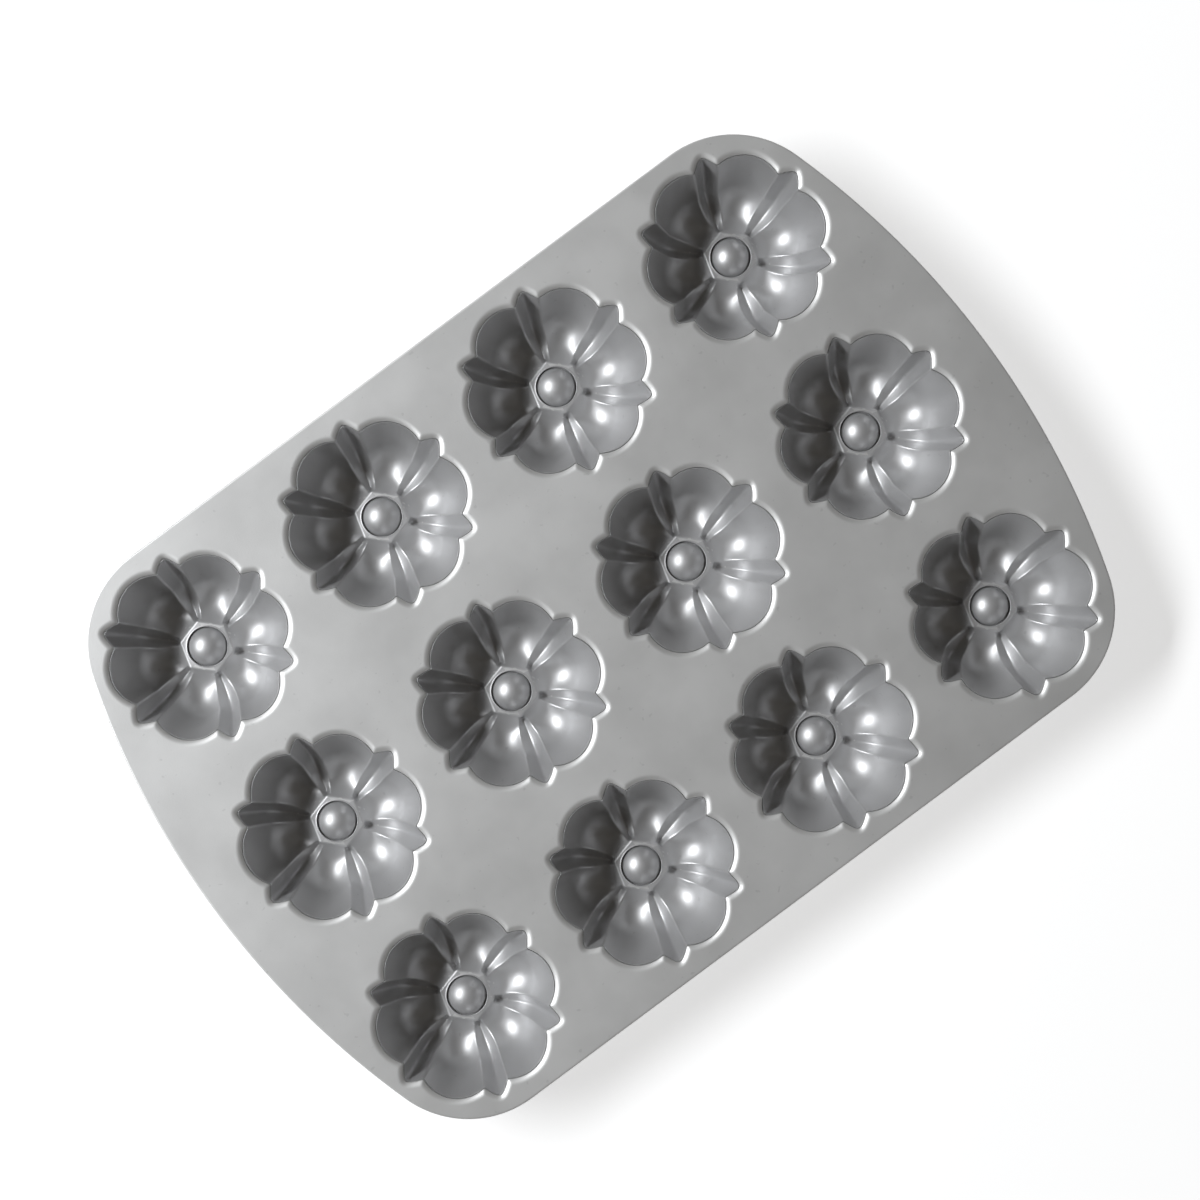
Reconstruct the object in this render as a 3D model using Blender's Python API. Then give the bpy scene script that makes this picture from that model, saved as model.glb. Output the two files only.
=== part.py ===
"""Mini fluted tube pan: a bow-ended deck plate that carries twelve fluted cups on flanges under it.

Metres, +Z up. The origin is on the surface the pan rests on, under the middle of the deck, and +X
runs along the four cups of a row. Every size grows outward from the button in the middle of a cup:
button, ring, boss, floor, wall, flange, spacing of the cups, edge of the deck.
"""

import math

import bmesh
import bpy

# Layout of the cups
CUPS_ALONG = 4
CUPS_ACROSS = 3
CUP_SPACING = 0.0051
FLUTES = 6
FLUTE_TURN = math.radians(15.0)

# Depths and walls of a cup
CUP_DEPTH = 0.0305
CUP_WALL = 0.0020
CREST_RISE = 0.0022
WALL_TAPER = math.radians(20.0)
FLOOR_FILLET = 0.0110

# Middle of a cup: the domed button, the flat ring round it and the boss that carries both
BUTTON_RADIUS = 0.0080
BUTTON_HEIGHT = 0.0046
CREASE_DEPTH = 0.0005
RING_WIDTH = 0.0015
BOSS_HEIGHT = 0.0044
BOSS_FLARE = 0.0045
FLOOR_LAND = 0.0033
BOSS_WALL = 0.0025

# Fluting: how far a lobe and a flute tip stand out from the crests between them
LOBE_RELIEF = 0.0036
FLUTE_RELIEF = 0.0045
FLUTE_HALF_ANGLE = math.radians(8.6)

# Flange under the deck, and the seam that shows inside each opening
FLANGE_LAP = 0.0042
FLANGE_THICKNESS = 0.0016
SEAM_GAP = 0.0003
SEAM_STEP = 0.0004

# Deck plate
SHOULDER_RADIUS = 0.0020
SHOULDER_LAND = 0.0004
EDGE_RADIUS = 0.0007
SIDE_MARGIN = 0.0033
END_MARGIN = 0.01567
END_BOW_RADIUS = 0.358
CORNER_RADIUS = 0.044

# Faceting
LOBE_STEPS = 4
FILLET_STEPS = 3
DOME_STEPS = 3
SHOULDER_STEPS = 2
END_STEPS = 12
CORNER_STEPS = 6
CUP_SHARP_ANGLE = math.radians(50)
DECK_SHARP_ANGLE = math.radians(35)

# Sizes that follow from the ones above
DECK_THICKNESS = SHOULDER_RADIUS + SHOULDER_LAND
DECK_TOP = CUP_DEPTH + CUP_WALL
CUP_TOP_DEPTH = DECK_THICKNESS + SEAM_GAP
RING_RADIUS = BUTTON_RADIUS + RING_WIDTH
BOSS_FOOT_RADIUS = RING_RADIUS + BOSS_FLARE
RING_DEPTH = CUP_DEPTH - BOSS_HEIGHT
CREST_DEPTH = CUP_DEPTH - CREST_RISE


def fillet_inset(depth):
    """How far the middle of the floor fillet lies inside the top of the wall, for a floor at this depth."""
    straight = depth - FLOOR_FILLET - CUP_TOP_DEPTH
    return straight * math.tan(WALL_TAPER) + FLOOR_FILLET / math.cos(WALL_TAPER)


CREST_REACH = BOSS_FOOT_RADIUS + FLOOR_LAND + fillet_inset(CREST_DEPTH)
LOBE_REACH = CREST_REACH + LOBE_RELIEF
FLUTE_REACH = CREST_REACH + FLUTE_RELIEF
FLANGE_RADIUS = FLUTE_REACH + SEAM_STEP + FLANGE_LAP
CUP_PITCH = 2 * FLANGE_RADIUS + CUP_SPACING
HALF_LENGTH = (CUPS_ALONG - 1) / 2 * CUP_PITCH + FLANGE_RADIUS + END_MARGIN
HALF_WIDTH = (CUPS_ACROSS - 1) / 2 * CUP_PITCH + FLANGE_RADIUS + SIDE_MARGIN


def polar(radius, angle):
    return (radius * math.cos(angle), radius * math.sin(angle))


def lobe_columns():
    """(angle, reach) along the arc of one lobe, from its own middle line, without the two crests."""
    half_angle = math.pi / FLUTES - FLUTE_HALF_ANGLE
    crest_x, crest_y = polar(CREST_REACH, half_angle)
    rise = LOBE_REACH - crest_x
    arc_radius = (crest_y**2 + rise**2) / (2 * rise)
    arc_centre = LOBE_REACH - arc_radius
    columns = []
    for step in range(1, LOBE_STEPS):
        angle = half_angle * (2 * step / LOBE_STEPS - 1)
        across = arc_centre * math.sin(angle)
        reach = arc_centre * math.cos(angle) + math.sqrt(arc_radius**2 - across**2)
        columns.append((angle, reach))
    return columns


def cup_columns():
    """(angle, reach of the cup's wall at its top) round one cup, starting on a flute's middle line."""
    columns = []
    sector = 2 * math.pi / FLUTES
    for flute in range(FLUTES):
        start = FLUTE_TURN + flute * sector
        columns.append((start, FLUTE_REACH))
        columns.append((start + FLUTE_HALF_ANGLE, CREST_REACH))
        for angle, reach in lobe_columns():
            columns.append((start + sector / 2 + angle, reach))
        columns.append((start + sector - FLUTE_HALF_ANGLE, CREST_REACH))
    return columns


def floor_depth(reach):
    """The floor is deepest under lobes and flutes, and CREST_RISE higher under a crest."""
    share = min(1.0, (reach - CREST_REACH) / LOBE_RELIEF)
    return CREST_DEPTH + share * CREST_RISE


def wall_point(angle, reach, depth, offset):
    """A point of the straight wall at this depth, moved outward by offset square to the wall."""
    inward = (depth - CUP_TOP_DEPTH) * math.tan(WALL_TAPER)
    x, y = polar(reach - inward + offset / math.cos(WALL_TAPER), angle)
    return (x, y, DECK_TOP - depth)


def fillet_point(angle, reach, depth, offset, turn):
    """A point of the floor fillet: turn 0 is where it leaves the wall, 1 where it meets the floor."""
    slope = WALL_TAPER + turn * (math.pi / 2 - WALL_TAPER)
    radius = FLOOR_FILLET + offset
    centre = reach - fillet_inset(depth)
    x, y = polar(centre + radius * math.cos(slope), angle)
    return (x, y, DECK_TOP - depth + FLOOR_FILLET - radius * math.sin(slope))


def circle(radius, columns, height):
    return [(*polar(radius, angle), height) for angle, _ in columns]


def add_ring(bm, points):
    return [bm.verts.new(point) for point in points]


def join_rings(bm, first, second):
    """A band of quads between two rings of as many points."""
    count = len(first)
    for i in range(count):
        j = (i + 1) % count
        bm.faces.new((first[i], first[j], second[j], second[i]))


def join_to_half_ring(bm, full, half):
    """A band of triangles from a ring to one that has every second of its points."""
    count = len(half)
    for i in range(count):
        j = (i + 1) % count
        start = full[2 * i]
        middle = full[2 * i + 1]
        end = full[(2 * i + 2) % len(full)]
        bm.faces.new((start, middle, half[i]))
        bm.faces.new((middle, half[j], half[i]))
        bm.faces.new((middle, end, half[j]))


def close_with_fan(bm, ring, apex):
    tip = bm.verts.new(apex)
    for i, vertex in enumerate(ring):
        bm.faces.new((vertex, ring[(i + 1) % len(ring)], tip))


def finish_mesh(bm, name, sharp_angle):
    bmesh.ops.recalc_face_normals(bm, faces=bm.faces)
    mesh = bpy.data.meshes.new(name)
    bm.to_mesh(mesh)
    bm.free()
    mesh.shade_smooth()
    mesh.set_sharp_from_angle(angle=sharp_angle)
    return mesh


def add_cup_inside(bm, columns, half_columns):
    """The baking surface, from the top of the wall to the button. Returns its top ring."""
    top = add_ring(bm, [wall_point(angle, reach, CUP_TOP_DEPTH, 0) for angle, reach in columns])
    upper = top
    for step in range(FILLET_STEPS + 1):
        turn = step / FILLET_STEPS
        lower = add_ring(
            bm, [fillet_point(angle, reach, floor_depth(reach), 0, turn) for angle, reach in columns]
        )
        join_rings(bm, upper, lower)
        upper = lower
    boss_foot = add_ring(
        bm, [(*polar(BOSS_FOOT_RADIUS, angle), DECK_TOP - floor_depth(reach)) for angle, reach in columns]
    )
    join_rings(bm, upper, boss_foot)
    ring_top = DECK_TOP - RING_DEPTH
    ring_edge = add_ring(bm, circle(RING_RADIUS, half_columns, ring_top))
    join_to_half_ring(bm, boss_foot, ring_edge)
    crease = add_ring(bm, circle(BUTTON_RADIUS, half_columns, ring_top - CREASE_DEPTH))
    join_rings(bm, ring_edge, crease)
    upper = crease
    for step in range(1, DOME_STEPS):
        radius, rise = polar(1, step / DOME_STEPS * math.pi / 2)
        dome = add_ring(bm, circle(BUTTON_RADIUS * radius, half_columns, ring_top + BUTTON_HEIGHT * rise))
        join_rings(bm, upper, dome)
        upper = dome
    close_with_fan(bm, upper, (0, 0, ring_top + BUTTON_HEIGHT))
    return top


def add_flange(bm, top, columns, half_columns):
    """The flange round the top of the wall. Returns the ring where its underside meets the wall."""
    upper_height = DECK_TOP - CUP_TOP_DEPTH
    lower_depth = CUP_TOP_DEPTH + FLANGE_THICKNESS
    upper_rim = add_ring(bm, circle(FLANGE_RADIUS, half_columns, upper_height))
    lower_rim = add_ring(bm, circle(FLANGE_RADIUS, half_columns, DECK_TOP - lower_depth))
    root = add_ring(bm, [wall_point(angle, reach, lower_depth, CUP_WALL) for angle, reach in columns])
    join_to_half_ring(bm, top, upper_rim)
    join_rings(bm, upper_rim, lower_rim)
    join_to_half_ring(bm, root, lower_rim)
    return root


def add_cup_outside(bm, root, columns, half_columns):
    """The outer wall down to the flat foot, and the recess under the boss."""
    upper = root
    for step in range(FILLET_STEPS + 1):
        turn = step / FILLET_STEPS
        lower = add_ring(
            bm, [fillet_point(angle, reach, CUP_DEPTH, CUP_WALL, turn) for angle, reach in columns]
        )
        join_rings(bm, upper, lower)
        upper = lower
    recess_mouth = add_ring(bm, circle(BOSS_FOOT_RADIUS - BOSS_WALL, half_columns, 0))
    join_to_half_ring(bm, upper, recess_mouth)
    recess_height = DECK_TOP - RING_DEPTH - CUP_WALL
    recess_top = add_ring(bm, circle(RING_RADIUS - BOSS_WALL, half_columns, recess_height))
    join_rings(bm, recess_mouth, recess_top)
    close_with_fan(bm, recess_top, (0, 0, recess_height + BUTTON_HEIGHT))


def make_cup_mesh():
    columns = cup_columns()
    half_columns = columns[::2]
    bm = bmesh.new()
    top = add_cup_inside(bm, columns, half_columns)
    root = add_flange(bm, top, columns, half_columns)
    add_cup_outside(bm, root, columns, half_columns)
    return finish_mesh(bm, "fluted_cup", CUP_SHARP_ANGLE)


def offset_outline(points, distance):
    """A closed outline moved outward by distance, with mitred corners. It runs anticlockwise."""
    moved = []
    count = len(points)
    for i, (x, y) in enumerate(points):
        before_x, before_y = points[i - 1]
        after_x, after_y = points[(i + 1) % count]
        into = math.atan2(y - before_y, x - before_x)
        out = math.atan2(after_y - y, after_x - x)
        turn = math.remainder(out - into, 2 * math.pi)
        normal = into + turn / 2 - math.pi / 2
        mitre = distance / math.cos(turn / 2)
        moved.append((x + mitre * math.cos(normal), y + mitre * math.sin(normal)))
    return moved


def arc(centre_x, centre_y, radius, start, end, steps):
    points = []
    for step in range(steps + 1):
        x, y = polar(radius, start + (end - start) * step / steps)
        points.append((centre_x + x, centre_y + y))
    return points


def deck_outline(inset):
    """The deck's edge moved inward: straight sides, bowed ends, and corners tangent to both."""
    bow_centre = HALF_LENGTH - END_BOW_RADIUS
    corner_y = HALF_WIDTH - CORNER_RADIUS
    corner_x = bow_centre + math.sqrt((END_BOW_RADIUS - CORNER_RADIUS) ** 2 - corner_y**2)
    meeting = math.atan2(corner_y, corner_x - bow_centre)
    radius = CORNER_RADIUS - inset
    bow = arc(bow_centre, 0, END_BOW_RADIUS - inset, -meeting, meeting, END_STEPS)
    upper_corner = arc(corner_x, corner_y, radius, meeting, math.pi / 2, CORNER_STEPS)
    lower_corner = arc(corner_x, -corner_y, radius, -math.pi / 2, -meeting, CORNER_STEPS)
    right = lower_corner[:-1] + bow + upper_corner[1:]
    left = [(-x, -y) for x, y in right]
    return right + left


def cup_centres():
    """(name, x, y) of each cup, row by row from the back, left to right."""
    centres = []
    for row in range(CUPS_ACROSS):
        for column in range(CUPS_ALONG):
            x = (column - (CUPS_ALONG - 1) / 2) * CUP_PITCH
            y = ((CUPS_ACROSS - 1) / 2 - row) * CUP_PITCH
            centres.append((f"cup_r{row + 1}c{column + 1}", x, y))
    return centres


def rounded_edge(radius):
    """(distance in from the edge, height) of each level of a rounded edge, from the deck's top down."""
    levels = []
    for step in range(SHOULDER_STEPS + 1):
        across, down = polar(radius, (1 - step / SHOULDER_STEPS) * math.pi / 2)
        levels.append((radius - across, DECK_TOP - radius + down))
    return levels


def add_side(bm, levels):
    """A side through outlines at falling heights. Returns its top and bottom rings."""
    rings = [add_ring(bm, [(x, y, height) for x, y in points]) for points, height in levels]
    for upper, lower in zip(rings, rings[1:]):
        join_rings(bm, upper, lower)
    return rings[0], rings[-1]


def add_deck_edge(bm):
    """The rounded outer edge. Returns its top and bottom rings."""
    radius = min(EDGE_RADIUS, DECK_THICKNESS / 2)
    levels = [(deck_outline(inset), height) for inset, height in rounded_edge(radius)]
    levels.append((deck_outline(0), DECK_TOP - DECK_THICKNESS))
    return add_side(bm, levels)


def add_opening(bm, outline, centre_x, centre_y):
    """One fluted opening with its rounded shoulder. Returns its top and bottom rings."""
    shoulder = rounded_edge(SHOULDER_RADIUS)
    levels = [(offset_outline(outline, distance), height) for distance, height in shoulder]
    levels.append((outline, DECK_TOP - DECK_THICKNESS))
    moved = [([(centre_x + x, centre_y + y) for x, y in points], height) for points, height in levels]
    return add_side(bm, moved)


def fill_between(bm, rings):
    """Closes a flat face that has the first ring as its edge and the others as its holes."""
    edges = []
    for ring in rings:
        for i, vertex in enumerate(ring):
            edges.append(bm.edges.get((vertex, ring[i - 1])))
    bmesh.ops.triangle_fill(bm, use_beauty=True, edges=edges)


def make_deck_mesh():
    opening = [polar(reach + SEAM_STEP, angle) for angle, reach in cup_columns()]
    bm = bmesh.new()
    edge_top, edge_bottom = add_deck_edge(bm)
    tops = [edge_top]
    bottoms = [edge_bottom]
    for _, x, y in cup_centres():
        top, bottom = add_opening(bm, opening, x, y)
        tops.append(top)
        bottoms.append(bottom)
    fill_between(bm, tops)
    fill_between(bm, bottoms)
    return finish_mesh(bm, "deck_plate", DECK_SHARP_ANGLE)


def satin_metal(name, colour, roughness):
    material = bpy.data.materials.new(name)
    material.use_nodes = True
    shader = material.node_tree.nodes["Principled BSDF"]
    shader.inputs["Base Color"].default_value = (*colour, 1.0)
    shader.inputs["Metallic"].default_value = 1.0
    shader.inputs["Roughness"].default_value = roughness
    return material


def add_object(name, mesh, material, parent, location):
    if not mesh.materials:
        mesh.materials.append(material)
    placed = bpy.data.objects.new(name, mesh)
    placed.location = location
    placed.parent = parent
    bpy.context.scene.collection.objects.link(placed)


def clear_scene():
    for found in list(bpy.data.objects):
        bpy.data.objects.remove(found, do_unlink=True)


def main():
    clear_scene()
    pan = bpy.data.objects.new("pan", None)
    bpy.context.scene.collection.objects.link(pan)
    deck_metal = satin_metal("deck_satin", (0.64, 0.64, 0.63), 0.48)
    cup_metal = satin_metal("cup_satin", (0.62, 0.62, 0.62), 0.45)
    add_object("deck_plate", make_deck_mesh(), deck_metal, pan, (0, 0, 0))
    cup_mesh = make_cup_mesh()
    for name, x, y in cup_centres():
        add_object(name, cup_mesh, cup_metal, pan, (x, y, 0))


main()
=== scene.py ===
"""Mini fluted tube pan: finely made deck and cups in satin metal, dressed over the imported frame.

Metres, +Z up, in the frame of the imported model. Depths are measured down from the deck's top.
"""

import math

import bmesh
import bpy
import numpy as np
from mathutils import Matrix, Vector
from mathutils.geometry import delaunay_2d_cdt


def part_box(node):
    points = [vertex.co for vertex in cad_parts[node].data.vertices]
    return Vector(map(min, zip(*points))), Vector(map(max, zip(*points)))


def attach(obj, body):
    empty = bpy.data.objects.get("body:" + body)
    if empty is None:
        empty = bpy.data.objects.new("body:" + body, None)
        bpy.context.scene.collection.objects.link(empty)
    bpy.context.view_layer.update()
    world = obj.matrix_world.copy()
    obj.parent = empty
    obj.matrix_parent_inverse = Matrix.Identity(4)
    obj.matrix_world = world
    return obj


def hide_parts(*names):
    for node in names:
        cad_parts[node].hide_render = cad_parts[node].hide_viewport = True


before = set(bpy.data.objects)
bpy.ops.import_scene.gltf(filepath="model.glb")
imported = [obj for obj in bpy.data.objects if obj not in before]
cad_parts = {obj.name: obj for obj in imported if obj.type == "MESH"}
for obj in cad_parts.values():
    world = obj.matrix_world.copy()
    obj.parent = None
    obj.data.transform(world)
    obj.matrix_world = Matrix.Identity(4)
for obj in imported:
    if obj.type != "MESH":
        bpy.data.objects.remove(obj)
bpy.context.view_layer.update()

# Layout, as in the solids
CUP_NAMES = [f"cup_r{row}c{column}" for row in (1, 2, 3) for column in (1, 2, 3, 4)]
FLUTES = 6
SECTOR = 2 * math.pi / FLUTES
FLUTE_TURN = math.radians(15.0)

# Depths and walls of a cup
CUP_DEPTH = 0.0305
CUP_WALL = 0.0020
DECK_TOP = CUP_DEPTH + CUP_WALL
DECK_THICKNESS = 0.0024
SEAM_GAP = 0.0003
SEAM_STEP = 0.0010
CUP_TOP_DEPTH = DECK_THICKNESS + SEAM_GAP
WALL_TAPER = math.radians(20.0)
FLOOR_FILLET = 0.0130
LOBE_REACH = 0.0375
LIP_ROUNDING = 0.00012
LIP_RISE = 0.0015

# Middle of a cup: the button, the crease round it, and the ring with its inner bead, whose section
# is given as shares of its width and height
BUTTON_RADIUS = 0.0083
BUTTON_SPHERE = 0.0085
BUTTON_HEIGHT = 0.0046
CREASE_WIDTH = 0.0003
BEAD_HEIGHT = 0.00017
BEAD_WIDTH = 0.00045
BEAD_SHAPE = ((1.2, 0.0), (1.0, 0.1), (0.45, 0.9), (0.2, 1.0), (0.0, 0.4))
RING_SIDE_RADIUS = 0.0093
RING_DEPTH = 0.0261
RING_ROUNDING = 0.0015
RING_SIDE_SLOPE = math.radians(45.0)
RING_FOOT_BLEND = 0.0042
RING_SIDE_REACH = 0.0036
FLUTE_END = 0.0134
FLUTE_END_RADIUS = 0.0004

# Fluting, against the distance from the cup's axis along the middle of a lobe: how far the crests
# stand in from the lobes, how far the flutes' bottoms do, and half the angle between two crests
RELIEF_RADII = (0.0090, 0.0123, 0.0150, 0.0175, 0.0200, 0.0225, 0.0260, 0.0310, 0.0379)
CREST_RELIEF = (0.0000, 0.0006, 0.0013, 0.0019, 0.0025, 0.0030, 0.0034, 0.0035, 0.0036)
FLUTE_RELIEF = (0.0000, 0.0000, -0.0001, -0.0002, -0.0002, -0.0002, -0.0003, -0.0005, -0.0009)
FLUTE_HALF_ANGLE = (7.2, 7.6, 9.0, 9.9, 10.4, 10.3, 9.8, 9.0, 8.6)
FLUTE_ROUNDING = (0.22, 0.14, 0.11, 0.10, 0.10, 0.11, 0.13, 0.17, 0.24)
CREST_BLEND = (0.0004, 0.0005, 0.0005, 0.0006, 0.0006, 0.0006, 0.0006, 0.0007, 0.0008)

# Flange and foot under the deck
FLANGE_RADIUS = 0.0434
FLANGE_THICKNESS = 0.0016
FLANGE_ROUNDING = 0.0003
FOOT_INNER = 0.0115
RECESS_TOP_RADIUS = 0.0062
RECESS_ROUNDING = 0.0010
RECESS_CHAMFER = 0.3 * RECESS_ROUNDING
RECESS_CROWN = 0.3 * BUTTON_SPHERE

# Deck plate
SHOULDER_RADIUS = 0.0038
SHOULDER_SLOPE = math.radians(38.0)
SHOULDER_EDGE = 0.0004
EDGE_RADIUS = 0.0007
END_BOW_RADIUS = 0.358
CORNER_RADIUS = 0.044

# Fineness of the meshes. The columns stand close within FLUTE_BAND of a flute's middle line
FLUTE_BAND = math.radians(13.0)
FLUTE_COLUMNS = 28
LOBE_COLUMNS = 20
WALL_ROWS = 11
FILLET_ROWS = 16
FLOOR_ROWS = 16
SIDE_ROWS = 26
DOME_ROWS = 14
ROUNDING_ROWS = 4
LIP_ROWS = 7
SHOULDER_ROWS = 9
EDGE_ROWS = 6
END_STEPS = 48
CORNER_STEPS = 24
OUTLINE_SAMPLES = 7200
FLAT_MARGIN = 0.0003
MERGE_DISTANCE = 1e-9
CUP_SHARP_ANGLE = math.radians(60.0)
DECK_SHARP_ANGLE = math.radians(50.0)

# Finish: each coating's lighter and darker grey, how much of it shines as metal, and its roughness
DECK_GREYS = ((0.72, 0.72, 0.715), (0.665, 0.665, 0.66))
DECK_METAL_SHARE = 0.60
DECK_ROUGHNESS = 0.51
# The cups' greys are darker than the deck's: painted shade for the dimmer light inside the cups, on the
# same coating as the deck.
CUP_SHADED_GREYS = ((0.55, 0.55, 0.555), (0.52, 0.52, 0.525))
CUP_METAL_SHARE = 0.63
CUP_ROUGHNESS = 0.47
ROUGHNESS_SPREAD = 0.03
WORN_METAL = (0.76, 0.76, 0.75)
SPECK_SHARE = 0.5
GRAIN_STRENGTH = 0.4
GRAIN_DEPTH = 0.00008

# Noise textures, as (scale, detail, roughness)
CLOUDS = (28.0, 4.0, 0.55)
GRAIN = (1700.0, 3.0, 0.6)
SPECKS = (420.0, 1.0, 0.4)

# Colour ramps, as (position, grey), and the range of the clouds that the roughness follows
DECK_WEAR_STOPS = ((0.80, 1.0), (0.99, 0.0))
CUP_WEAR_STOPS = ((0.52, 0.0), (0.60, 1.0))
CLOUD_STOPS = ((0.35, 0.0), (0.65, 1.0))
SPECK_STOPS = ((0.22, 0.80), (0.27, 1.0))
CLOUD_LOW = 0.3
CLOUD_HIGH = 0.7

# Floor and backdrop, of paper that also glows a little
FLOOR_GREY = (0.53, 0.53, 0.53)
FLOOR_GLOW = 0.66
FLOOR_HALF_SIDE = 5.0
FLOOR_DROP = 0.0001
BACKDROP_HEIGHT = 1.0

# Camera and lamps, with distances from the deck's top. The picture shows the pan turned by PAN_TURN
PAN_TURN = math.radians(36.65)
CAMERA_HEIGHT = 0.900
CAMERA_SPOT = (-0.0202, 0.0240)
LENS = 65.7
SENSOR = 36.0
SHIFT = (0.0612, 0.0077)
KEY_AZIMUTH = math.radians(171.5) - PAN_TURN
KEY_TILT = math.radians(47.0)
KEY_DISTANCE = 2.40
KEY_SIZE = (1.90, 0.40)
KEY_POWER = 64.0
KEY_COLOUR = (0.96, 0.98, 1.0)
TOP_HEIGHT = 1.30
TOP_SIZE = (1.60, 1.60)
TOP_POWER = 0.32
TOP_COLOUR = (1.0, 0.99, 0.975)
WORLD_GREY = (0.054, 0.048, 0.0405)


def cup_angles():
    """Columns round a cup, closer together across the flutes than across the lobes."""
    flute = np.linspace(-FLUTE_BAND, FLUTE_BAND, FLUTE_COLUMNS, endpoint=False)
    lobe = np.linspace(FLUTE_BAND, SECTOR - FLUTE_BAND, LOBE_COLUMNS, endpoint=False)
    sector = np.concatenate([flute, lobe])
    return np.concatenate([FLUTE_TURN + turn * SECTOR + sector for turn in range(FLUTES)])


def from_flute(angles):
    """Angle of each column from the middle line of the nearest flute, without its sign."""
    return np.abs((angles - FLUTE_TURN + SECTOR / 2) % SECTOR - SECTOR / 2)


def along(radius, values):
    """Value at a radius, on a smooth curve through a table over RELIEF_RADII."""
    radii = np.array(RELIEF_RADII)
    values = np.array(values)
    slopes = np.gradient(values, radii)
    place = np.clip(np.searchsorted(radii, radius) - 1, 0, len(radii) - 2)
    width = radii[place + 1] - radii[place]
    share = np.clip((radius - radii[place]) / width, 0, 1)
    smooth = share * share * (3 - 2 * share)
    level = values[place] * (1 - smooth) + values[place + 1] * smooth
    leaving = slopes[place] * share * (1 - share) ** 2
    arriving = slopes[place + 1] * share**2 * (share - 1)
    return level + width * (leaving + arriving)


def smooth_min(first, second, blend):
    """The lower of two heights, with their meeting rounded over the blend."""
    near = np.maximum(blend - np.abs(first - second), 0) / blend
    return np.minimum(first, second) - near**2 * blend / 4


def flute_half_angle(radius):
    return np.radians(along(radius, FLUTE_HALF_ANGLE))


def lobe_relief(radius, off_flute):
    """How far a lobe stands in from its own middle line, square to the wall."""
    crest = along(radius, CREST_RELIEF)
    return crest * ((SECTOR / 2 - off_flute) / (SECTOR / 2 - flute_half_angle(radius))) ** 2


def cut_flute(surface, edge, radius, off_flute):
    """The surface with its flutes cut in, given its height at their edges. They climb out at FLUTE_END."""
    climb = np.maximum(FLUTE_END - radius, 0) ** 2 / (2 * FLUTE_END_RADIUS)
    bottom = along(radius, FLUTE_RELIEF) + climb
    rounding = along(radius, FLUTE_ROUNDING)
    rise = np.sqrt((off_flute / flute_half_angle(radius)) ** 2 + rounding**2) - rounding
    flute = bottom + np.maximum(edge - bottom, 0) * rise / (np.sqrt(1 + rounding**2) - rounding)
    return smooth_min(surface, flute, along(radius, CREST_BLEND))


def relief(radius, off_flute):
    """How far the wall stands in from the middle of a lobe, square to the wall."""
    return cut_flute(lobe_relief(radius, off_flute), along(radius, CREST_RELIEF), radius, off_flute)


def rim_reach(angles):
    """Distance of the cup's wall from its axis at the top of the cup."""
    return LOBE_REACH - relief(LOBE_REACH, from_flute(angles)) / math.cos(WALL_TAPER)


def lobe_profile():
    """The middle line of a lobe as (radius, depth, slope of the wall from upright, share of the wall)."""
    straight = CUP_DEPTH - FLOOR_FILLET * (1 - math.sin(WALL_TAPER)) - CUP_TOP_DEPTH
    rows = []
    for share in np.linspace(0, 1, WALL_ROWS, endpoint=False):
        down = share * straight
        rows.append((LOBE_REACH - down * math.tan(WALL_TAPER), CUP_TOP_DEPTH + down, WALL_TAPER, share))
    centre = LOBE_REACH - straight * math.tan(WALL_TAPER) - FLOOR_FILLET * math.cos(WALL_TAPER)
    for slope in np.linspace(WALL_TAPER, math.pi / 2, FILLET_ROWS):
        radius = centre + FLOOR_FILLET * math.cos(slope)
        rows.append((radius, CUP_DEPTH - FLOOR_FILLET * (1 - math.sin(slope)), slope, 1.0))
    return rows


def ring_start(off_flute):
    """Radius at which the ring's flat top starts to round off: a hexagon that points to the flutes."""
    return RING_SIDE_RADIUS / np.cos(SECTOR / 2 - off_flute)


def side_height(outward):
    """Height of the boss's side above the floor, this far out from where the ring starts to round off."""
    turn = np.arcsin(np.clip(outward / RING_ROUNDING, 0, math.sin(RING_SIDE_SLOPE)))
    past = np.maximum(outward - RING_ROUNDING * math.sin(RING_SIDE_SLOPE), 0)
    drop = RING_ROUNDING * (1 - np.cos(turn)) + past * math.tan(RING_SIDE_SLOPE)
    return CUP_DEPTH - RING_DEPTH - drop


def body_height(radius, off_flute):
    """Height above the floor of the lobes and the boss's side, before the flutes are cut."""
    side = side_height(radius - ring_start(off_flute))
    return -smooth_min(-lobe_relief(radius, off_flute), -side, RING_FOOT_BLEND)


def floor_height(radius, off_flute):
    """The floor with its lobes and the boss, and the flutes cut into both."""
    edge = body_height(radius, flute_half_angle(radius))
    body = body_height(radius, off_flute)
    return DECK_TOP - CUP_DEPTH + cut_flute(body, edge, radius, off_flute)


def around(radius, angles, height):
    """Points of one ring of the mesh."""
    radius = np.broadcast_to(radius, angles.shape)
    height = np.broadcast_to(height, angles.shape)
    return np.stack([radius * np.cos(angles), radius * np.sin(angles), height], axis=1)


def lip_rows(angles):
    """From the flange's top over the lip, a fine bead that stands up inside the opening, to the wall."""
    flange_top = DECK_TOP - CUP_TOP_DEPTH
    lean = (LIP_RISE - LIP_ROUNDING) * math.tan(WALL_TAPER) + LIP_ROUNDING / math.cos(WALL_TAPER)
    centre = rim_reach(angles) + lean
    rows = [around(centre + LIP_ROUNDING, angles, flange_top)]
    for tilt in np.linspace(-math.pi / 2, math.pi / 2 - WALL_TAPER, LIP_ROWS):
        height = flange_top + LIP_RISE - LIP_ROUNDING * (1 - math.cos(tilt))
        rows.append(around(centre - LIP_ROUNDING * math.sin(tilt), angles, height))
    return rows


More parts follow.
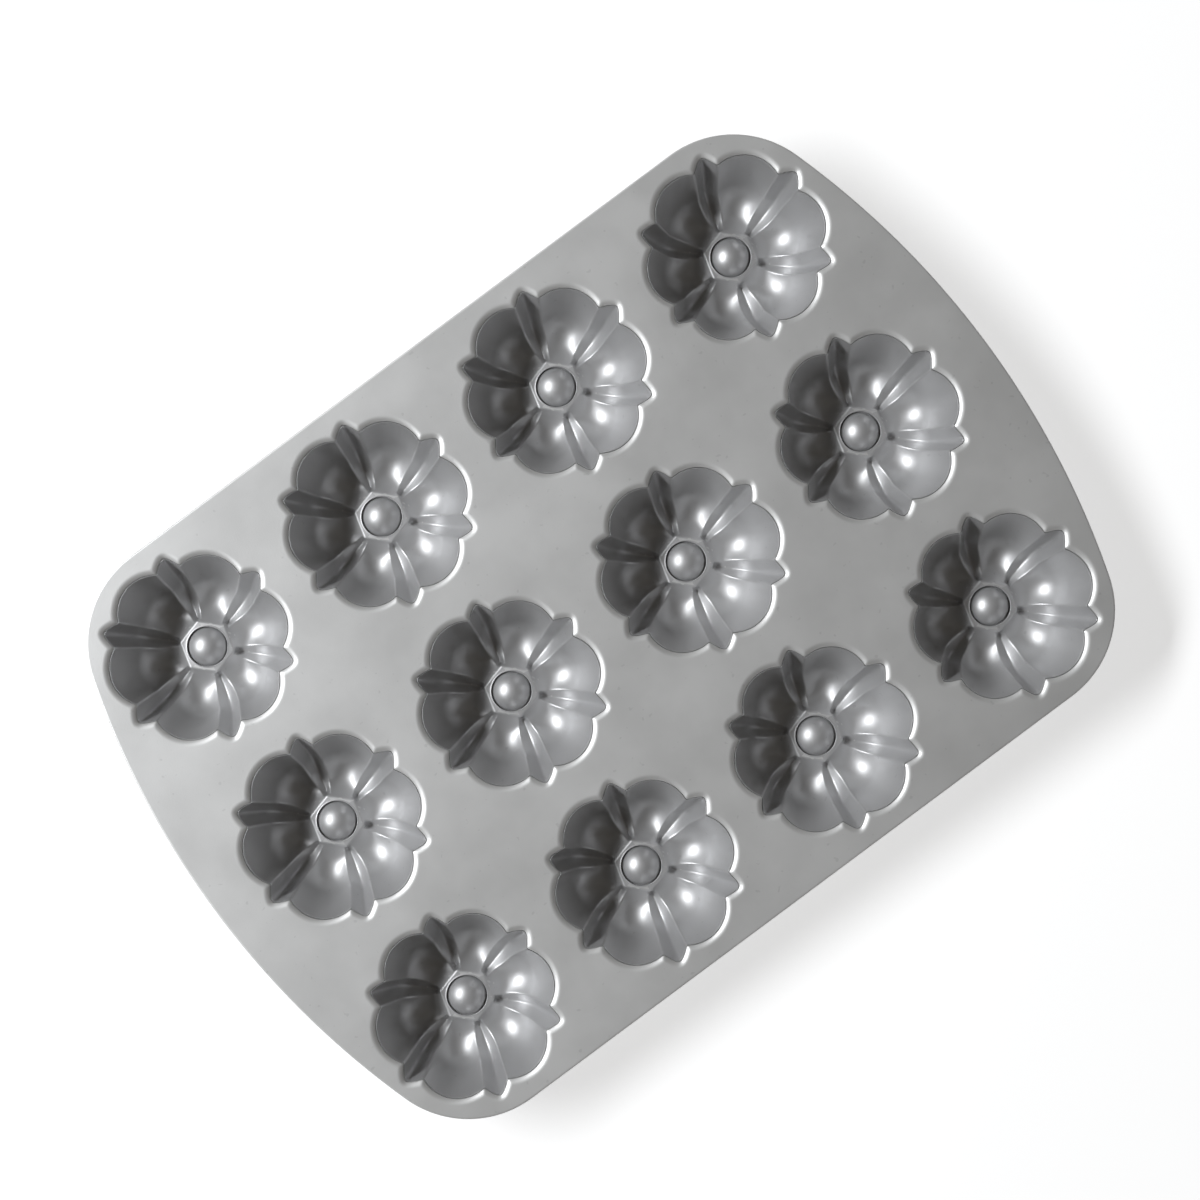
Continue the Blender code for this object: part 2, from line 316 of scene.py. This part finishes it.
def wall_rows(angles, offset, fade):
    """Wall and floor fillet, moved outward by offset, with the fluting faded by fade(slope)."""
    off_flute = from_flute(angles)
    rows = []
    for radius, depth, slope, share in lobe_profile():
        inward = relief(radius, off_flute) * fade(slope) - offset
        level = (1 - share) / math.cos(slope)
        across = radius - inward * (level + share * math.cos(slope))
        rows.append(around(across, angles, DECK_TOP - depth + inward * share * math.sin(slope)))
    return rows


def floor_rows(angles):
    """From the lobes' lowest line over the floor and up the boss's side to the ring's flat top."""
    off_flute = from_flute(angles)
    start = ring_start(off_flute)
    outer = lobe_profile()[-1][0]
    radii = [
        outer + (start + RING_SIDE_REACH - outer) * share for share in np.linspace(0, 1, FLOOR_ROWS + 1)[1:]
    ]
    radii += [start + RING_SIDE_REACH * share for share in np.linspace(1, 0, SIDE_ROWS + 1)[1:]]
    return [around(radius, angles, floor_height(radius, off_flute)) for radius in radii]


def button_rows(angles):
    """Ring top, its inner bead, crease and dome, down to the last ring before the dome's tip."""
    ring_top = DECK_TOP - RING_DEPTH
    crease = BUTTON_RADIUS + CREASE_WIDTH / 2
    bead = crease + CREASE_WIDTH / 2
    edge_tilt = math.asin(BUTTON_RADIUS / BUTTON_SPHERE)
    centre = button_top() - BUTTON_SPHERE
    rows = [
        around(bead + BEAD_WIDTH * out, angles, ring_top + BEAD_HEIGHT * up) for out, up in BEAD_SHAPE
    ]
    rows.append(around(crease, angles, centre + BUTTON_SPHERE * math.cos(edge_tilt)))
    for tilt in np.linspace(edge_tilt, 0, DOME_ROWS, endpoint=False):
        height = centre + BUTTON_SPHERE * math.cos(tilt)
        rows.append(around(BUTTON_SPHERE * math.sin(tilt), angles, height))
    return rows


def button_top():
    return DECK_TOP - RING_DEPTH + BUTTON_HEIGHT


def recess_top():
    return DECK_TOP - RING_DEPTH - CUP_WALL


def flange_rows(angles):
    """Outer edge of the flange, from its underside up to its top."""
    top = DECK_TOP - CUP_TOP_DEPTH
    bottom = top - FLANGE_THICKNESS
    inset = FLANGE_ROUNDING * (1 - math.sqrt(0.5))
    return [
        around(FLANGE_RADIUS - FLANGE_ROUNDING, angles, bottom),
        around(FLANGE_RADIUS - inset, angles, bottom + inset),
        around(FLANGE_RADIUS, angles, bottom + FLANGE_ROUNDING),
        around(FLANGE_RADIUS, angles, top - FLANGE_ROUNDING),
        around(FLANGE_RADIUS - inset, angles, top - inset),
        around(FLANGE_RADIUS - FLANGE_ROUNDING, angles, top),
    ]


def outer_rows(angles):
    """Outer wall from the flange down to the foot, and up into the recess under the boss."""
    flange_bottom = DECK_TOP - CUP_TOP_DEPTH - FLANGE_THICKNESS
    wall = [
        row for row in wall_rows(angles, CUP_WALL, lambda slope: math.cos(slope) / math.cos(WALL_TAPER))
        if row[0, 2] < flange_bottom
    ]
    recess = [
        around(FOOT_INNER + RECESS_ROUNDING, angles, 0),
        around(FOOT_INNER + RECESS_CHAMFER, angles, RECESS_CHAMFER),
        around(FOOT_INNER, angles, RECESS_ROUNDING),
        around(RECESS_TOP_RADIUS + RECESS_ROUNDING, angles, recess_top() - RECESS_CHAMFER),
        around(RECESS_TOP_RADIUS, angles, recess_top()),
    ]
    return wall + recess


def band_faces(start, columns, rows):
    """Faces between rows of as many points, the first of which has the index start."""
    faces = []
    for row in range(rows - 1):
        for column in range(columns):
            following = (column + 1) % columns
            upper = start + row * columns
            lower = upper + columns
            faces.append((upper + column, upper + following, lower + following, lower + column))
    return faces


def mesh_from_rings(name, rings, first_tip, last_tip):
    """A closed mesh through rings of as many points, ending in a tip on the axis at both ends."""
    columns = len(rings[0])
    points = [tuple(point) for ring in rings for point in ring]
    faces = band_faces(0, columns, len(rings))
    last = len(points) - columns
    first_index = len(points)
    points.append((0, 0, first_tip))
    points.append((0, 0, last_tip))
    for column in range(columns):
        following = (column + 1) % columns
        faces.append((following, column, first_index))
        faces.append((last + column, last + following, first_index + 1))
    mesh = bpy.data.meshes.new(name)
    mesh.from_pydata(points, [], faces)
    return mesh


def face_outward(mesh, sharp_angle):
    """Faces turned outward and shaded smooth, except across edges sharper than the angle."""
    bm = bmesh.new()
    bm.from_mesh(mesh)
    bmesh.ops.recalc_face_normals(bm, faces=bm.faces)
    bm.to_mesh(mesh)
    bm.free()
    mesh.shade_smooth()
    mesh.set_sharp_from_angle(angle=sharp_angle)


def make_cup_mesh():
    angles = cup_angles()
    inside = lip_rows(angles) + wall_rows(angles, 0, lambda slope: 1.0)
    inside += floor_rows(angles) + button_rows(angles)
    outside = outer_rows(angles)[::-1] + flange_rows(angles)
    mesh = mesh_from_rings("fluted_cup", outside + inside, recess_top() + RECESS_CROWN, button_top())
    face_outward(mesh, CUP_SHARP_ANGLE)
    return mesh


def grown_opening(distance):
    """Reach of an opening's outline after it grows by distance, for each column round the cup."""
    angles = cup_angles()
    if distance == 0:
        return rim_reach(angles) + SEAM_STEP
    samples = FLUTE_TURN + np.linspace(-SECTOR, 2 * SECTOR, OUTLINE_SAMPLES)
    reach = rim_reach(samples) + SEAM_STEP
    grown = []
    for angle in angles[: len(angles) // FLUTES]:
        ahead = reach * np.cos(samples - angle)
        aside = reach * np.sin(samples - angle)
        near = np.abs(aside) < distance
        grown.append(np.max(ahead[near] + np.sqrt(distance**2 - aside[near] ** 2)))
    return np.tile(grown, FLUTES)


def shoulder_levels():
    """(distance out from the opening, depth) up its shoulder: a tight edge, then a wide soft curve."""
    levels = []
    edge_width = SHOULDER_EDGE * (1 - math.sin(SHOULDER_SLOPE))
    edge_depth = SHOULDER_RADIUS * (1 - math.cos(SHOULDER_SLOPE))
    for slope in np.linspace(math.pi / 2, SHOULDER_SLOPE, ROUNDING_ROWS, endpoint=False):
        across = SHOULDER_EDGE * (1 - math.sin(slope))
        levels.append((across, edge_depth + SHOULDER_EDGE * (math.cos(SHOULDER_SLOPE) - math.cos(slope))))
    for slope in np.linspace(SHOULDER_SLOPE, 0, SHOULDER_ROWS):
        across = edge_width + SHOULDER_RADIUS * (math.sin(SHOULDER_SLOPE) - math.sin(slope))
        levels.append((across, SHOULDER_RADIUS * (1 - math.cos(slope))))
    levels.append((levels[-1][0] + FLAT_MARGIN, 0))
    return levels


def opening_rings(angles):
    """One opening from the underside of the deck up round its shoulder to the flat top."""
    rings = [around(grown_opening(0), angles, DECK_TOP - DECK_THICKNESS)]
    for distance, depth in shoulder_levels():
        rings.append(around(grown_opening(distance), angles, DECK_TOP - depth))
    return rings


def arc(centre_x, centre_y, radius, start, end, steps):
    turns = np.linspace(start, end, steps + 1)
    return [(centre_x + radius * math.cos(t), centre_y + radius * math.sin(t)) for t in turns]


def deck_outline(half_length, half_width, inset):
    """The deck's edge moved inward: straight sides, bowed ends, and corners tangent to both."""
    bow_centre = half_length - END_BOW_RADIUS
    corner_y = half_width - CORNER_RADIUS
    corner_x = bow_centre + math.sqrt((END_BOW_RADIUS - CORNER_RADIUS) ** 2 - corner_y**2)
    meeting = math.atan2(corner_y, corner_x - bow_centre)
    radius = CORNER_RADIUS - inset
    bow = arc(bow_centre, 0, END_BOW_RADIUS - inset, -meeting, meeting, END_STEPS)
    upper_corner = arc(corner_x, corner_y, radius, meeting, math.pi / 2, CORNER_STEPS)
    lower_corner = arc(corner_x, -corner_y, radius, -math.pi / 2, -meeting, CORNER_STEPS)
    right = lower_corner[:-1] + bow + upper_corner[1:]
    return right + [(-x, -y) for x, y in right]


def deck_edge_rings():
    """The rounded outer edge from the flat top down to the flat underside."""
    low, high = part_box("deck_plate")
    half_length = (high.x - low.x) / 2
    half_width = (high.y - low.y) / 2
    levels = [(EDGE_RADIUS + FLAT_MARGIN, DECK_TOP)]
    for tilt in np.linspace(0, math.pi / 2, EDGE_ROWS):
        inset = EDGE_RADIUS * (1 - math.sin(tilt))
        levels.append((inset, DECK_TOP - EDGE_RADIUS * (1 - math.cos(tilt))))
    for tilt in np.linspace(math.pi / 2, math.pi, EDGE_ROWS):
        inset = EDGE_RADIUS * (1 - math.sin(tilt))
        levels.append((inset, DECK_TOP - DECK_THICKNESS + EDGE_RADIUS * (1 + math.cos(tilt))))
    levels.append((EDGE_RADIUS + FLAT_MARGIN, DECK_TOP - DECK_THICKNESS))
    rings = []
    for inset, height in levels:
        outline = deck_outline(half_length, half_width, inset)
        rings.append([(x, y, height) for x, y in outline])
    return rings


def cup_centre(name):
    low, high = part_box(name)
    return ((low.x + high.x) / 2, (low.y + high.y) / 2)


def point_in_loop(x, y, loop):
    """Whether a point lies inside a closed outline."""
    inside = False
    for (before_x, before_y), (after_x, after_y) in zip([loop[-1]] + loop[:-1], loop):
        if (before_y > y) != (after_y > y):
            crossing = before_x + (y - before_y) / (after_y - before_y) * (after_x - before_x)
            inside ^= x < crossing
    return inside


def flat_faces(points, loops):
    """Triangles of a flat face whose edge is the first loop and whose holes are the others."""
    indices = [index for loop in loops for index in loop]
    owner = [number for number, loop in enumerate(loops) for _ in loop]
    edges = []
    for loop in loops:
        first = len(edges)
        edges += [(first + i, first + (i + 1) % len(loop)) for i in range(len(loop))]
    flat = [Vector(points[index][:2]) for index in indices]
    corners, _, triangles, sources, _, _ = delaunay_2d_cdt(flat, edges, [], 0, MERGE_DISTANCE)
    outlines = [[tuple(points[index][:2]) for index in loop] for loop in loops]
    kept = []
    for triangle in triangles:
        own = [sources[corner][0] for corner in triangle]
        numbers = {owner[i] for i in own}
        middle = sum((corners[corner] for corner in triangle), Vector((0, 0))) / 3
        if len(numbers) == 1:
            number = numbers.pop()
            if point_in_loop(middle.x, middle.y, outlines[number]) != (number == 0):
                continue
        kept.append(tuple(indices[i] for i in own))
    return kept


def make_deck_mesh():
    """The plate: its rounded edge, its openings' shoulders, and the flat faces between them."""
    angles = cup_angles()
    columns = len(angles)
    points = []
    faces = []
    edge = deck_edge_rings()
    count = len(edge[0])
    for ring in edge:
        points += ring
    faces += band_faces(0, count, len(edge))
    tops = [list(range(count))]
    bottoms = [list(range((len(edge) - 1) * count, len(edge) * count))]
    rings = opening_rings(angles)
    for name in CUP_NAMES:
        centre_x, centre_y = cup_centre(name)
        start = len(points)
        for ring in rings:
            points += [(centre_x + x, centre_y + y, z) for x, y, z in ring]
        faces += band_faces(start, columns, len(rings))
        bottoms.append(list(range(start, start + columns)))
        last = start + (len(rings) - 1) * columns
        tops.append(list(range(last, last + columns)))
    faces += flat_faces(points, tops)
    faces += flat_faces(points, bottoms)
    mesh = bpy.data.meshes.new("deck")
    mesh.from_pydata(points, [], faces)
    face_outward(mesh, DECK_SHARP_ANGLE)
    return mesh


def node(tree, kind, place, **settings):
    """Adds a node and sets its properties and its unlinked inputs by name, with _ for a space."""
    made = tree.nodes.new(kind)
    made.location = place
    for key, value in settings.items():
        if hasattr(made, key):
            setattr(made, key, value)
        else:
            made.inputs[key.replace("_", " ")].default_value = value
    return made


def noise(tree, place, scale, detail, roughness):
    return node(tree, "ShaderNodeTexNoise", place, Scale=scale, Detail=detail, Roughness=roughness)


def ramp(tree, place, stops):
    """A colour ramp through greys, given as (position, grey)."""
    made = tree.nodes.new("ShaderNodeValToRGB")
    made.location = place
    elements = made.color_ramp.elements
    for element, (position, grey) in zip(elements, stops):
        element.position = position
        element.color = (grey, grey, grey, 1)
    return made


def rounded_edges(tree):
    """Mask of the deck's rounded edges: where its surface isn't level."""
    place = node(tree, "ShaderNodeTexCoord", (-1400, 700))
    parts = node(tree, "ShaderNodeSeparateXYZ", (-1200, 700))
    level = node(tree, "ShaderNodeMath", (-1000, 700), operation="ABSOLUTE")
    mask = ramp(tree, (-800, 800), DECK_WEAR_STOPS)
    tree.links.new(place.outputs["Normal"], parts.inputs[0])
    tree.links.new(parts.outputs["Z"], level.inputs[0])
    tree.links.new(level.outputs["Value"], mask.inputs["Fac"])
    return mask.outputs["Color"]


def raised_edges(tree):
    """Mask of a cup's raised edges: where its closely meshed surface bends outward."""
    geometry = node(tree, "ShaderNodeNewGeometry", (-1000, 700))
    mask = ramp(tree, (-800, 800), CUP_WEAR_STOPS)
    tree.links.new(geometry.outputs["Pointiness"], mask.inputs["Fac"])
    return mask.outputs["Color"]


def silver_coating(name, greys, metal_share, roughness, edge_mask):
    """Satin silver coating on metal: fine grain, faint clouding, a few specks and edges worn bright."""
    material = bpy.data.materials.new(name)
    material.use_nodes = True
    tree = material.node_tree
    link = tree.links.new
    shader = tree.nodes["Principled BSDF"]
    shader.inputs["Metallic"].default_value = metal_share

    place = node(tree, "ShaderNodeTexCoord", (-1400, 0))
    info = node(tree, "ShaderNodeObjectInfo", (-1400, -300))
    shifted = node(tree, "ShaderNodeVectorMath", (-1200, 0), operation="ADD")
    link(place.outputs["Object"], shifted.inputs[0])
    link(info.outputs["Location"], shifted.inputs[1])

    clouds = noise(tree, (-1000, 300), *CLOUDS)
    grain = noise(tree, (-1000, 0), *GRAIN)
    specks = noise(tree, (-1000, -300), *SPECKS)
    for texture in (clouds, grain, specks):
        link(shifted.outputs[0], texture.inputs["Vector"])

    light_grey, dark_grey = greys
    tone = node(tree, "ShaderNodeMix", (-700, 300), data_type="RGBA")
    tone.inputs["A"].default_value = (*dark_grey, 1)
    tone.inputs["B"].default_value = (*light_grey, 1)
    spread = ramp(tree, (-900, 500), CLOUD_STOPS)
    link(clouds.outputs["Fac"], spread.inputs["Fac"])
    link(spread.outputs["Color"], tone.inputs["Factor"])

    speck_mask = ramp(tree, (-800, -300), SPECK_STOPS)
    link(specks.outputs["Fac"], speck_mask.inputs["Fac"])
    specked = node(tree, "ShaderNodeMix", (-500, 200), data_type="RGBA", blend_type="MULTIPLY")
    specked.inputs["Factor"].default_value = SPECK_SHARE
    link(tone.outputs["Result"], specked.inputs["A"])
    link(speck_mask.outputs["Color"], specked.inputs["B"])

    patchy = node(tree, "ShaderNodeMath", (-500, 700), operation="MULTIPLY")
    link(edge_mask(tree), patchy.inputs[0])
    link(clouds.outputs["Fac"], patchy.inputs[1])
    worn = node(tree, "ShaderNodeMix", (-300, 300), data_type="RGBA")
    worn.inputs["B"].default_value = (*WORN_METAL, 1)
    link(patchy.outputs["Value"], worn.inputs["Factor"])
    link(specked.outputs["Result"], worn.inputs["A"])
    link(worn.outputs["Result"], shader.inputs["Base Color"])

    gloss = node(
        tree, "ShaderNodeMapRange", (-500, -100),
        From_Min=CLOUD_LOW, From_Max=CLOUD_HIGH,
        To_Min=roughness - ROUGHNESS_SPREAD, To_Max=roughness + ROUGHNESS_SPREAD,
    )
    link(clouds.outputs["Fac"], gloss.inputs["Value"])
    link(gloss.outputs["Result"], shader.inputs["Roughness"])

    bump = node(tree, "ShaderNodeBump", (-300, -300), Strength=GRAIN_STRENGTH, Distance=GRAIN_DEPTH)
    link(grain.outputs["Fac"], bump.inputs["Height"])
    link(bump.outputs["Normal"], shader.inputs["Normal"])
    return material


def floor_material():
    """White paper that keeps the object's shadow, and glows where it is seen or mirrored."""
    material = bpy.data.materials.new("white_floor")
    material.use_nodes = True
    tree = material.node_tree
    link = tree.links.new
    tree.nodes.clear()
    output = node(tree, "ShaderNodeOutputMaterial", (600, 0))
    paper = node(tree, "ShaderNodeBsdfDiffuse", (0, 0))
    paper.inputs["Color"].default_value = (*FLOOR_GREY, 1)
    glow = node(tree, "ShaderNodeEmission", (0, -200))
    rays = node(tree, "ShaderNodeLightPath", (-800, -200))
    seen = node(tree, "ShaderNodeMath", (-600, -200), operation="ADD")
    shown = node(tree, "ShaderNodeMath", (-400, -200), operation="ADD")
    scaled = node(tree, "ShaderNodeMath", (-200, -200), operation="MULTIPLY")
    scaled.inputs[1].default_value = FLOOR_GLOW
    link(rays.outputs["Is Camera Ray"], seen.inputs[0])
    link(rays.outputs["Is Glossy Ray"], seen.inputs[1])
    link(seen.outputs[0], shown.inputs[0])
    link(rays.outputs["Is Transmission Ray"], shown.inputs[1])
    link(shown.outputs[0], scaled.inputs[0])
    link(scaled.outputs[0], glow.inputs["Strength"])
    both = node(tree, "ShaderNodeAddShader", (300, 0))
    link(paper.outputs[0], both.inputs[0])
    link(glow.outputs[0], both.inputs[1])
    link(both.outputs[0], output.inputs["Surface"])
    return material


def add_object(name, data):
    placed = bpy.data.objects.new(name, data)
    bpy.context.scene.collection.objects.link(placed)
    return placed


def add_deck():
    mesh = make_deck_mesh()
    mesh.materials.append(
        silver_coating("deck_silver", DECK_GREYS, DECK_METAL_SHARE, DECK_ROUGHNESS, rounded_edges)
    )
    deck = add_object("deck", mesh)
    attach(deck, "root")
    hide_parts("deck_plate")


def add_cups():
    mesh = make_cup_mesh()
    # The cup coating's darker greys are painted shade for the light lost inside the cups.
    mesh.materials.append(
        silver_coating("cup_silver", CUP_SHADED_GREYS, CUP_METAL_SHARE, CUP_ROUGHNESS, raised_edges)
    )
    for name in CUP_NAMES:
        cup = add_object(f"fluted_{name}", mesh)
        cup.location = (*cup_centre(name), 0)
        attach(cup, "root")
        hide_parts(name)


def add_floor():
    """The floor with its far edges turned up into a low backdrop."""
    reach = FLOOR_HALF_SIDE
    corners = [(-reach, -reach), (reach, -reach), (reach, reach), (-reach, reach)]
    points = [(x, y, height) for height in (0, BACKDROP_HEIGHT) for x, y in corners]
    sides = [(corner, corner + 4, (corner + 1) % 4 + 4, (corner + 1) % 4) for corner in range(4)]
    mesh = bpy.data.meshes.new("floor")
    mesh.from_pydata(points, [], [(0, 1, 2, 3), *sides])
    mesh.materials.append(floor_material())
    floor = add_object("floor", mesh)
    floor.location.z = -FLOOR_DROP


def add_camera():
    camera = add_object("camera", bpy.data.cameras.new("camera"))
    camera.data.sensor_width = SENSOR
    camera.data.lens = LENS
    camera.data.shift_x, camera.data.shift_y = SHIFT
    camera.location = (*CAMERA_SPOT, DECK_TOP + CAMERA_HEIGHT)
    camera.rotation_euler = (0, 0, -PAN_TURN)
    bpy.context.scene.camera = camera


def add_area_light(name, place, size, power, colour):
    """A lamp that faces the middle of the deck's top."""
    data = bpy.data.lights.new(name, "AREA")
    data.shape = "ELLIPSE"
    data.size, data.size_y = size
    data.energy = power
    data.color = colour
    lamp = add_object(name, data)
    lamp.location = place
    facing = Vector((0, 0, DECK_TOP)) - Vector(place)
    lamp.rotation_euler = facing.to_track_quat("-Z", "Y").to_euler()


def add_lights():
    across = KEY_DISTANCE * math.sin(KEY_TILT)
    above = KEY_DISTANCE * math.cos(KEY_TILT)
    key_place = (across * math.cos(KEY_AZIMUTH), across * math.sin(KEY_AZIMUTH), DECK_TOP + above)
    add_area_light("key", key_place, KEY_SIZE, KEY_POWER, KEY_COLOUR)
    add_area_light("overhead", (0, 0, DECK_TOP + TOP_HEIGHT), TOP_SIZE, TOP_POWER, TOP_COLOUR)
    world = bpy.data.worlds.new("studio")
    bpy.context.scene.world = world
    world.use_nodes = True
    world.node_tree.nodes["Background"].inputs["Color"].default_value = (*WORLD_GREY, 1)


def main():
    add_deck()
    add_cups()
    add_floor()
    add_camera()
    add_lights()
    bpy.context.scene.view_settings.view_transform = "Standard"


main()
